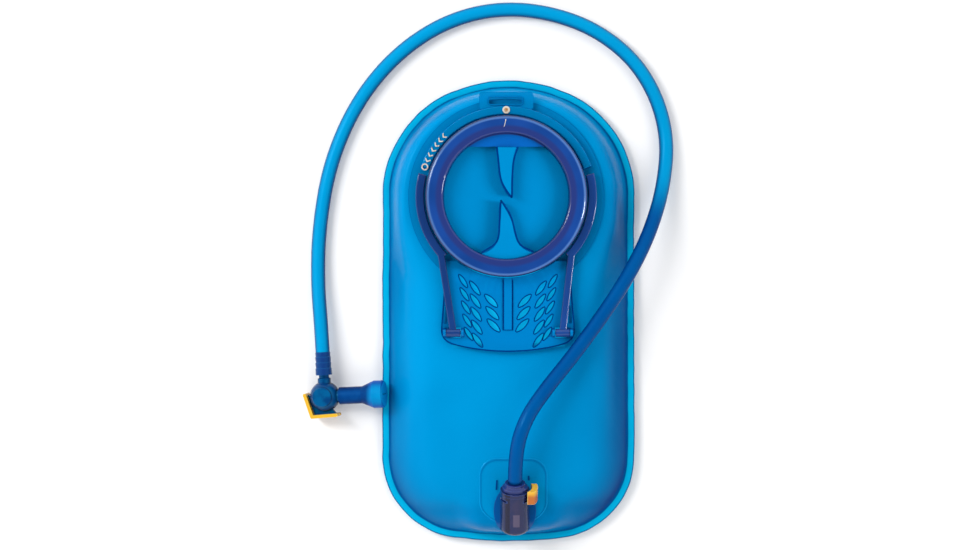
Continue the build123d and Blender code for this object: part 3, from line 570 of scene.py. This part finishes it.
def plate_lines():
    """Outlines of the leaf openings on both halves of the plate, of its rim and of its rib."""
    lines = []
    for first, step, count, length, width, slant in LEAF_COLUMNS:
        half, bulge = length / 2, width / 2
        for number in range(count):
            middle_at = Vector(first) + number * Vector(step)
            for side in (-1, 1):
                line = []
                for part in range(25):
                    angle = 2 * pi * part / 24
                    at = Vector((half * cos(angle), bulge * sin(angle) * (1 - 0.25 * cos(angle) ** 2)))
                    at.rotate(Matrix.Rotation(radians(slant), 2))
                    at += middle_at
                    line.append(Vector((PLATE_X - side * at.x, at.y)))
                lines.append(line)
    edge = smooth_line(PLATE_EDGE)
    lines.append([Vector((PLATE_X, 0)) + place for place in edge])
    lines.append([Vector((PLATE_X, 0)) + Vector(place) for place in RIB_EDGE])
    return lines


def fin_outlines():
    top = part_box("cap_window")[1].z / MM
    lines = [[PORT.xy + place for place in smooth_line(flank)] for flank in FIN_FLANKS]
    return ribbons("fin_outlines", lines, 0.62, top + 0.04, "cap")


def plate_outlines():
    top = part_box("fill_port_collar")[0].z / MM + PLATE_FACE
    return ribbons("plate_outlines", plate_lines(), 0.42, top + 0.04, "reservoir")


def patch_ribs():
    """Two short ribs on the weld patch, one each side of the socket's rim."""
    lines = [[Vector(place) for place in rib] for rib in PATCH_RIBS]
    return ribbons("patch_ribs", lines, 0.6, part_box("outlet_patch")[1].z / MM, "reservoir")


# Materials

TONE = 0.8
BLUE_GLOSS = (0.12, 0.6, 1.0, 1)


def linear(red, green, blue):
    """Linear colour from 0 to 255 values, held back because the white surround adds light of its own."""
    values = []
    for value in (red, green, blue):
        share = value / 255
        values.append(TONE * (share / 12.92 if share <= 0.04045 else ((share + 0.055) / 1.055) ** 2.4))
    return (*values, 1.0)


class Graph:
    """One material's node tree, built a node at a time."""

    def __init__(self, name):
        self.material = bpy.data.materials.new(name)
        self.material.use_nodes = True
        self.tree = self.material.node_tree
        self.tree.nodes.clear()

    def add(self, kind, inputs=None, **settings):
        made = self.tree.nodes.new(kind)
        for key, value in settings.items():
            setattr(made, key, value)
        for key, value in (inputs or {}).items():
            if isinstance(value, bpy.types.NodeSocket):
                self.tree.links.new(value, made.inputs[key])
            else:
                made.inputs[key].default_value = value
        return made

    def maths(self, operation, first, second=0.0, clamp=False):
        return self.add("ShaderNodeMath", {0: first, 1: second}, operation=operation, use_clamp=clamp).outputs[0]

    def span(self, value, low, high, to_low=0.0, to_high=1.0):
        """Smooth step of a value from one range to another."""
        inputs = {"Value": value, "From Min": low, "From Max": high, "To Min": to_low, "To Max": to_high}
        return self.add("ShaderNodeMapRange", inputs, interpolation_type="SMOOTHSTEP").outputs[0]

    def mix(self, share, first, second):
        made = self.add("ShaderNodeMix", data_type="RGBA")
        for socket, value in ((0, share), (6, first), (7, second)):
            if isinstance(value, bpy.types.NodeSocket):
                self.tree.links.new(value, made.inputs[socket])
            else:
                made.inputs[socket].default_value = value
        return made.outputs[2]

    def place(self):
        """Object coordinates, which are the row frame's in metres."""
        return self.add("ShaderNodeTexCoord").outputs["Object"]

    def axes(self, vector):
        return self.add("ShaderNodeSeparateXYZ", {0: vector}).outputs

    def cloud(self, scale, detail=3.0):
        """Noise value about 0.5."""
        inputs = {"Vector": self.place(), "Scale": scale, "Detail": detail}
        return self.add("ShaderNodeTexNoise", inputs).outputs["Fac"]

    def value(self, name):
        return self.add("ShaderNodeAttribute", attribute_name=name).outputs["Fac"]

    def edges(self, radius, strength=1.6):
        """1 along a solid's edges, within a radius in metres, and 0 on its faces."""
        rounded = self.add("ShaderNodeBevel", {"Radius": radius}, samples=6).outputs[0]
        flat = self.add("ShaderNodeNewGeometry").outputs["Normal"]
        along = self.add("ShaderNodeVectorMath", {0: rounded, 1: flat}, operation="DOT_PRODUCT").outputs["Value"]
        return self.maths("MULTIPLY", self.maths("SUBTRACT", 1.0, along), strength * 3.0, clamp=True)

    def upward(self):
        """1 where the surface faces up or down, 0 where it stands upright."""
        normal = self.add("ShaderNodeNewGeometry").outputs["Normal"]
        return self.maths("ABSOLUTE", self.axes(normal)[2])

    def bump(self, height, strength, distance):
        inputs = {"Height": height, "Strength": strength, "Distance": distance}
        return self.add("ShaderNodeBump", inputs).outputs[0]

    def finish(self, base, roughness=0.2, clear=0.0, tint=(1, 1, 1, 1), normal=None, **own):
        """Principled surface, with a share of clear tinted plastic mixed in."""
        inputs = {"Base Color": base, "Roughness": roughness}
        inputs.update({key.replace("_", " "): value for key, value in own.items()})
        if normal is not None:
            inputs["Normal"] = normal
        surface = self.add("ShaderNodeBsdfPrincipled", inputs).outputs[0]
        if clear:
            through = self.add("ShaderNodeBsdfTransparent", {"Color": tint}).outputs[0]
            surface = self.add("ShaderNodeMixShader", {0: clear, 1: surface, 2: through}).outputs[0]
        self.add("ShaderNodeOutputMaterial", {"Surface": surface})
        return self.material


def film_material(name, clear):
    """Clear blue film: pale welded flange, dark rim and weld line, painted shade where the pillow curves away,
    and a painted glow under the handle plate.
    """
    graph = Graph(name)
    depth = graph.value("film_depth")
    shade = graph.value("film_shade")
    mottle = graph.cloud(14.0, 2.0)
    shade = graph.maths("ADD", shade, graph.span(mottle, 0.3, 0.75, -0.05, 0.07), clamp=True)
    body = graph.mix(shade, linear(0, 162, 230), linear(0, 66, 138))
    # Painted light: the film under the plate is painted paler.
    body = graph.mix(painted_light_under_plate(graph), body, linear(30, 196, 240))
    flange = graph.mix(graph.cloud(60.0), linear(2, 182, 234), linear(6, 202, 252))
    rim = graph.mix(graph.span(depth, 0.2, 1.3), linear(4, 88, 146), flange)
    weld = graph.span(depth, 4.1, 5.0)
    weld_line = graph.mix(weld, rim, linear(0, 86, 156))
    colour = graph.mix(graph.span(depth, 5.2, 7.4), weld_line, body)
    fine = graph.cloud(420.0, 4.0)
    roughness = graph.span(graph.cloud(90.0), 0.3, 0.7, 0.13, 0.24)
    normal = graph.bump(fine, 0.05, 0.0006)
    # Painted light: the film glows under the handle plate.
    return graph.finish(colour, roughness, clear, (0.25, 0.68, 0.95, 1), normal, Specular_IOR_Level=0.08,
                        Specular_Tint=BLUE_GLOSS, Emission_Color=linear(0, 178, 220),
                        Emission_Strength=graph.maths("MULTIPLY", painted_light_under_plate(graph), 0.8))


def painted_light_under_plate(graph):
    """1 on the film under the handle plate, where painted light makes it paler and makes it glow, showing through
    the leaf openings.
    """
    x, y = graph.axes(graph.place())[:2]
    across = graph.maths("ABSOLUTE", x)
    low = graph.span(y, -0.026, -0.020)
    high = graph.span(y, 0.026, 0.032, 1.0, 0.0)
    return graph.maths("MULTIPLY", graph.span(across, 0.036, 0.041, 1.0, 0.0), graph.maths("MULTIPLY", low, high))


def clear_plastic(name, face, edge, clear, radius=0.0009, roughness=0.09, plate_glow=0.0):
    """Moulded clear plastic with painted shade along its edges and on its upright faces, and, where asked, a
    painted glow under the handle plate.
    """
    graph = Graph(name)
    mottled = graph.mix(graph.cloud(45.0), face, tuple(0.88 * part for part in face[:3]) + (1.0,))
    # Painted shade: edges take the darker edge colour, and so do faces that stand upright.
    colour = graph.mix(graph.edges(radius), mottled, edge)
    steep = graph.span(graph.upward(), 0.35, 0.9)
    colour = graph.mix(steep, edge, colour)
    normal = graph.bump(graph.cloud(260.0), 0.04, 0.0004)
    # Painted light: where asked, the plastic glows within the handle plate's outline.
    return graph.finish(colour, roughness, clear, (0.45, 0.82, 1.0, 1), normal, Specular_IOR_Level=0.3,
                        Specular_Tint=BLUE_GLOSS, Emission_Color=linear(0, 178, 220),
                        Emission_Strength=graph.maths("MULTIPLY", painted_light_under_plate(graph), plate_glow))


def dark_plastic(name, face, edge, clear=0.12, radius=0.0011, roughness=0.13, glow=None):
    """Deep tinted plastic: dryer arms, arm pins, spool, poppet, hose connector and latch plate."""
    graph = Graph(name)
    drift = graph.span(graph.cloud(26.0, 2.0), 0.3, 0.7)
    body = graph.mix(drift, face, glow or tuple(1.25 * part for part in face[:3]) + (1.0,))
    # Along edges: painted shade on the arms, whose edge colour is darker, and a painted highlight on the pins,
    # spool, poppet, connector and latch plate, whose edge colour is lighter.
    colour = graph.mix(graph.edges(radius), body, edge)
    normal = graph.bump(graph.cloud(300.0), 0.05, 0.0004)
    return graph.finish(colour, roughness, clear, (0.25, 0.4, 0.9, 1), normal, Specular_IOR_Level=0.4)


def ring_material():
    """Cap ring: purple inner slope, blue crown, a fine pale line by the outer edge that is a painted highlight on
    the bevel, and a dark skirt that is painted shade.
    """
    graph = Graph("cap_tint")
    x, y = graph.axes(graph.place())[:2]
    plan = graph.add("ShaderNodeCombineXYZ", {"X": x, "Y": y}).outputs[0]
    centre = (PORT.x * MM, PORT.y * MM, 0)
    out = graph.add("ShaderNodeVectorMath", {0: plan, 1: centre}, operation="DISTANCE").outputs["Value"]
    crown = graph.mix(graph.span(graph.cloud(22.0, 2.0), 0.3, 0.7), linear(14, 56, 124), linear(22, 66, 142))
    colour = graph.mix(graph.span(out, 0.0470, 0.0495), linear(34, 50, 112), crown)
    colour = graph.mix(graph.span(out, 0.0420, 0.0430, 1.0, 0.0), colour, linear(0, 92, 176))
    # Painted highlight: a fine pale line along the ring's outer bevel.
    colour = graph.mix(graph.span(out, 0.0525, 0.0535), colour, linear(56, 98, 160))
    # Painted shade: the skirt darkens beyond it, where the ring's outer edge turns down.
    colour = graph.mix(graph.span(out, 0.0540, 0.0548), colour, linear(22, 44, 96))
    normal = graph.bump(graph.cloud(300.0), 0.05, 0.0004)
    return graph.finish(colour, 0.12, 0.04, (0.25, 0.4, 0.9, 1), normal, Specular_IOR_Level=0.4)


def hose_material():
    """Translucent tube: painted shade on its upright flanks and painted light along its middle, where its faces
    turn up.
    """
    graph = Graph("hose_tube")
    middle_share = graph.span(graph.upward(), 0.3, 0.98)
    over_film = hose_over_film(graph)
    core = graph.mix(over_film, linear(2, 162, 222), linear(0, 84, 158))
    flank = graph.mix(over_film, linear(2, 58, 116), linear(0, 54, 122))
    # Painted light and shade: faces that turn up take the light core colour, upright flanks the dark one.
    colour = graph.mix(middle_share, flank, core)
    streaks = graph.span(graph.cloud(30.0), 0.3, 0.7)
    colour = graph.mix(graph.maths("MULTIPLY", streaks, 0.12), colour, linear(0, 120, 190))
    normal = graph.bump(graph.cloud(350.0), 0.03, 0.0004)
    return graph.finish(colour, 0.2, 0.06, (0.2, 0.6, 0.9, 1), normal, Specular_IOR_Level=0.12,
                        Specular_Tint=BLUE_GLOSS)


def hose_over_film(graph):
    """1 where the hose lies above the bladder, whose blue it takes on."""
    x, y, z = graph.axes(graph.place())[:3]
    high = graph.span(z, 0.012, 0.024)
    near = graph.span(x, -0.10, -0.06)
    return graph.maths("MULTIPLY", high, near)


def socket_material():
    """Outlet: smoky barrel between blue wings, painted shade towards the barrel's sides and painted highlights
    along its edges, its inner wall and the water way showing through.
    """
    graph = Graph("outlet_plastic")
    x, y = graph.axes(graph.place())[:2]
    across = graph.maths("ABSOLUTE", graph.maths("SUBTRACT", x, OUTLET_X * MM))
    wing = graph.span(across, 0.0094, 0.0106)
    # Painted shade: the barrel is paler along its middle and darker towards its sides.
    core = graph.span(across, 0.0, 0.0085)
    barrel = graph.mix(core, linear(48, 46, 88), linear(20, 34, 84))
    cloudy = graph.mix(graph.span(graph.cloud(120.0), 0.35, 0.65), barrel, linear(30, 40, 88))
    way_side = graph.maths("MULTIPLY", graph.span(x, 0.0026, 0.0032), graph.span(x, 0.0070, 0.0076, 1.0, 0.0))
    way_end = graph.maths("MULTIPLY", graph.span(y, -0.1480, -0.1474), graph.span(y, -0.1394, -0.1388, 1.0, 0.0))
    cloudy = graph.mix(graph.maths("MULTIPLY", way_side, way_end), cloudy, linear(92, 82, 112))
    wall_side = graph.maths("MULTIPLY", graph.span(x, -0.0030, -0.0022), graph.span(x, 0.0, 0.0012, 1.0, 0.0))
    cloudy = graph.mix(wall_side, cloudy, linear(12, 14, 52))
    colour = graph.mix(wing, cloudy, linear(0, 92, 168))
    # Painted highlight: the socket's edges are mixed lighter.
    colour = graph.mix(graph.edges(0.0009, 1.0), colour, linear(58, 92, 176))
    normal = graph.bump(graph.cloud(300.0), 0.05, 0.0004)
    return graph.finish(colour, 0.11, 0.1, (0.3, 0.45, 0.9, 1), normal, Specular_IOR_Level=0.35)


def yellow_material(name, light, deep, axis, low, high):
    """Golden plastic that deepens to orange along one axis as painted shade, with painted highlights along its
    edges.
    """
    graph = Graph(name)
    along = graph.axes(graph.place())[axis]
    # Painted shade: deeper orange towards the low end of the axis.
    share = graph.span(along, low, high)
    colour = graph.mix(share, deep, light)
    # Painted highlight: edges are mixed towards a pale yellow.
    colour = graph.mix(graph.maths("MULTIPLY", graph.edges(0.0007), 0.6), colour, linear(255, 236, 120))
    normal = graph.bump(graph.cloud(500.0), 0.08, 0.0003)
    return graph.finish(colour, 0.26, normal=normal, IOR=1.5)


def bite_material():
    """Silicone mouthpiece: dark sleeve and lighter flared head, each painted light on faces that turn up and
    painted shade on its upright flanks.
    """
    graph = Graph("bite_silicone")
    x = graph.axes(graph.place())[0]
    head = graph.span(x, -0.100, -0.0955)
    # Painted light and shade: faces that turn up are lighter, upright flanks darker.
    flat = graph.span(graph.upward(), 0.45, 0.97)
    sleeve = graph.mix(flat, linear(2, 40, 96), linear(4, 62, 132))
    bright = graph.mix(flat, linear(20, 88, 176), linear(6, 148, 212))
    colour = graph.mix(head, sleeve, bright)
    # Painted light: the mouth's end face, which faces along X, is painted light.
    normal_x = graph.axes(graph.add("ShaderNodeNewGeometry").outputs["Normal"])[0]
    colour = graph.mix(graph.span(normal_x, 0.6, 0.9), colour, linear(0, 150, 216))
    colour = graph.mix(graph.span(graph.cloud(120.0), 0.35, 0.7, 0.0, 0.25), colour, linear(16, 100, 180))
    normal = graph.bump(graph.cloud(700.0), 0.1, 0.0003)
    return graph.finish(colour, 0.32, 0.06, (0.3, 0.6, 0.95, 1), normal, Specular_IOR_Level=0.08,
                        Specular_Tint=BLUE_GLOSS)


def elbow_material():
    """Valve body: dark blue-green, painted light on faces that turn up and painted shade on upright ones, with
    lighter random patches.
    """
    graph = Graph("elbow_plastic")
    # Painted light and shade: faces that turn up are lighter, upright faces darker.
    facing = graph.span(graph.upward(), 0.2, 0.98)
    colour = graph.mix(facing, linear(2, 34, 72), linear(2, 92, 148))
    colour = graph.mix(graph.span(graph.cloud(110.0), 0.4, 0.62), colour, linear(4, 60, 120))
    normal = graph.bump(graph.cloud(260.0), 0.1, 0.0005)
    return graph.finish(colour, 0.14, 0.06, (0.2, 0.5, 0.9, 1), normal, Specular_IOR_Level=0.35,
                        Specular_Tint=BLUE_GLOSS)


def sleeve_material():
    graph = Graph("hose_end_tint")
    # Painted light and shade: faces that turn up are lighter, upright faces darker.
    facing = graph.span(graph.upward(), 0.2, 0.95)
    colour = graph.mix(facing, linear(2, 60, 118), linear(22, 62, 130))
    # Painted highlight along the sleeve's step edges.
    colour = graph.mix(graph.edges(0.0005), colour, linear(10, 110, 180))
    normal = graph.bump(graph.cloud(300.0), 0.1, 0.0004)
    return graph.finish(colour, 0.25, 0.05, (0.3, 0.6, 0.9, 1), normal, Specular_IOR_Level=0.25,
                        Specular_Tint=BLUE_GLOSS)


def mark_material():
    """Printed mark: off-white ink, worn warmer in random patches."""
    graph = Graph("mark_ink")
    worn = graph.span(graph.cloud(900.0, 4.0), 0.42, 0.66)
    colour = graph.mix(worn, linear(238, 232, 222), linear(196, 164, 132))
    normal = graph.bump(graph.cloud(1500.0), 0.15, 0.0002)
    return graph.finish(colour, 0.5, normal=normal, IOR=1.45)


def pip_material():
    """Pale pip with an amber middle."""
    graph = Graph("pip_ink")
    centre = middle("alignment_pip") * MM
    away = graph.add("ShaderNodeVectorMath", {0: graph.place(), 1: centre}, operation="DISTANCE").outputs["Value"]
    ring = graph.span(away, 0.0011, 0.0018)
    colour = graph.mix(ring, linear(176, 122, 70), linear(226, 216, 198))
    colour = graph.mix(graph.span(graph.cloud(800.0), 0.4, 0.7, 0.0, 0.4), colour, linear(236, 230, 214))
    return graph.finish(colour, 0.4, normal=graph.bump(graph.cloud(900.0), 0.1, 0.0002), IOR=1.45)


def patch_material():
    """Weld patch: the film's own blue, with its bead darker."""
    graph = Graph("patch_film")
    bead = graph.value("bead")
    body = graph.mix(graph.cloud(60.0), linear(0, 150, 218), linear(0, 160, 224))
    colour = graph.mix(graph.maths("MULTIPLY", bead, 0.8), body, linear(0, 112, 180))
    normal = graph.bump(graph.cloud(320.0), 0.05, 0.0005)
    return graph.finish(colour, 0.17, 0.12, (0.3, 0.7, 0.95, 1), normal, Specular_IOR_Level=0.2,
                        Specular_Tint=BLUE_GLOSS)


def seal_material():
    graph = Graph("seal_rubber")
    colour = graph.mix(graph.cloud(400.0), linear(18, 34, 70), linear(34, 58, 104))
    return graph.finish(colour, 0.45, normal=graph.bump(graph.cloud(900.0), 0.2, 0.0002), IOR=1.5)


def steel_material():
    graph = Graph("spring_steel")
    roughness = graph.span(graph.cloud(1200.0), 0.3, 0.7, 0.2, 0.4)
    colour = graph.mix(graph.cloud(700.0), linear(188, 190, 194), linear(150, 152, 158))
    return graph.finish(colour, roughness, Metallic=1.0)


def paint(piece, material):
    """Give an object one material."""
    slots = piece.material_slots
    if not slots:
        piece.data.materials.append(material)
        return
    for slot in slots:
        slot.link = "OBJECT"
        slot.material = material


def paint_nodes(material, *names):
    for name in names:
        paint(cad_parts[name], material)


def paint_cad():
    # The collar is given a painted glow under the handle plate.
    collar = clear_plastic("collar_clear", linear(0, 150, 218), linear(0, 96, 172), 0.3, 0.0007, plate_glow=0.75)
    plate = clear_plastic("plate_clear", linear(0, 124, 192), linear(0, 66, 142), 0.2, 0.0010)
    window = clear_plastic("window_clear", linear(0, 142, 206), linear(0, 56, 140), 0.26, 0.0016)
    arm = dark_plastic("arm_tint", linear(22, 60, 124), linear(20, 34, 84), 0.1, 0.0010)
    pin = dark_plastic("pin_tint", linear(20, 64, 136), linear(60, 120, 190), 0.1, 0.0005)
    connector = dark_plastic("connector_tint", linear(30, 44, 108), linear(70, 100, 180), 0.06, 0.0006)
    button = yellow_material("button_yellow", linear(248, 186, 24), linear(196, 104, 8), 1, -0.1272, -0.1232)
    lever = yellow_material("lever_yellow", linear(240, 184, 30), linear(206, 140, 16), 2, 0.004, 0.013)
    paint_nodes(collar, "fill_port_collar")
    paint_nodes(plate, "port_handle")
    paint_nodes(window, "cap_window")
    paint_nodes(ring_material(), "cap_ring")
    paint_nodes(arm, "left_dryer_arm", "right_dryer_arm")
    paint_nodes(pin, "left_arm_pin", "right_arm_pin", "shutoff_spool", "check_poppet")
    paint_nodes(connector, "hose_connector", "latch_plate")
    paint_nodes(button, "release_button")
    paint_nodes(lever, "shutoff_lever")
    paint_nodes(socket_material(), "outlet_socket")
    paint_nodes(bite_material(), "bite_valve")
    paint_nodes(elbow_material(), "valve_elbow", "elbow_cover", "lever_web")
    paint_nodes(mark_material(), "turn_marks")
    paint_nodes(pip_material(), "alignment_pip")
    paint_nodes(seal_material(), "cap_gasket", "connector_seal", "spool_seals")
    paint_nodes(steel_material(), "latch_spring", "poppet_spring")


# Room


def make_floor():
    size = 6000.0
    piece = mesh_object("floor", [(-size, -size, 0), (size, -size, 0), (size, size, 0), (-size, size, 0)],
                        [(0, 1, 2, 3)])
    graph = Graph("floor_paper")
    colour = graph.mix(graph.cloud(3.0), (0.93, 0.93, 0.93, 1), (0.9, 0.9, 0.905, 1))
    paint(piece, graph.finish(colour, 0.9, normal=graph.bump(graph.cloud(300.0), 0.03, 0.0004)))


def make_world():
    """White studio surround with a dim patch overhead, so flat film isn't veiled by its reflection."""
    world = bpy.data.worlds.new("studio")
    world.use_nodes = True
    bpy.context.scene.world = world
    tree = world.node_tree
    tree.nodes.clear()
    place = tree.nodes.new("ShaderNodeTexCoord")
    axes = tree.nodes.new("ShaderNodeSeparateXYZ")
    ramp = tree.nodes.new("ShaderNodeMapRange")
    surround = tree.nodes.new("ShaderNodeBackground")
    output = tree.nodes.new("ShaderNodeOutputWorld")
    ramp.interpolation_type = "SMOOTHSTEP"
    for key, value in (("From Min", 0.80), ("From Max", 0.96), ("To Min", 1.35), ("To Max", 0.10)):
        ramp.inputs[key].default_value = value
    surround.inputs["Color"].default_value = (1.0, 1.0, 1.0, 1.0)
    tree.links.new(place.outputs["Generated"], axes.inputs[0])
    tree.links.new(axes.outputs[2], ramp.inputs["Value"])
    tree.links.new(ramp.outputs[0], surround.inputs["Strength"])
    tree.links.new(surround.outputs[0], output.inputs["Surface"])


def soft_box(name, place, aim, width, height, power):
    data = bpy.data.lights.new(name, "AREA")
    data.shape = "RECTANGLE"
    data.size = width
    data.size_y = height
    data.energy = power
    lamp = bpy.data.objects.new(name, data)
    lamp.location = place
    lamp.rotation_mode = "QUATERNION"
    lamp.rotation_quaternion = (Vector(aim) - Vector(place)).to_track_quat("-Z", "Y")
    bpy.context.scene.collection.objects.link(lamp)
    return lamp


def shine_on(lamp, nodes):
    """Let a lamp light only some CAD pieces."""
    chosen = bpy.data.collections.new(lamp.name + "_receivers")
    for name in nodes:
        chosen.objects.link(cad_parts[name])
    lamp.light_linking.receiver_collection = chosen


def make_lights():
    soft_box("box_left", (-0.85, 0.45, 0.95), (0, 0.03, 0.02), 0.28, 0.75, 9.0)
    right = soft_box("box_right", (0.95, -0.05, 0.75), (0, 0.08, 0.04), 0.2, 0.5, 12.0)
    shine_on(right, ("cap_ring", "cap_window", "right_dryer_arm", "port_handle"))


make_camera()
hose_line = hose_path()
hose = make_hose(hose_line)
paint(hose, hose_material())
sleeve = hose_end_sleeve()
paint(sleeve, sleeve_material())
paint(front_film(), film_material("front_film_blue", 0.14))
paint(back_film(), film_material("back_film_blue", 0.08))
paint(outlet_patch(), patch_material())
paint(cap_pointer(), mark_material())
# Painted shade: dark bands along the fins', leaf openings' and plate's clear edges and along the patch's two
# ribs.
painted_edge_shade = clear_plastic("painted_edge_shade_clear", linear(0, 58, 136), linear(0, 50, 130), 0.2, 0.0004)
paint(fin_outlines(), painted_edge_shade)
paint(plate_outlines(), painted_edge_shade)
paint(patch_ribs(), painted_edge_shade)
paint_cad()
make_floor()
make_world()
make_lights()
bpy.context.scene.view_settings.view_transform = "Standard"
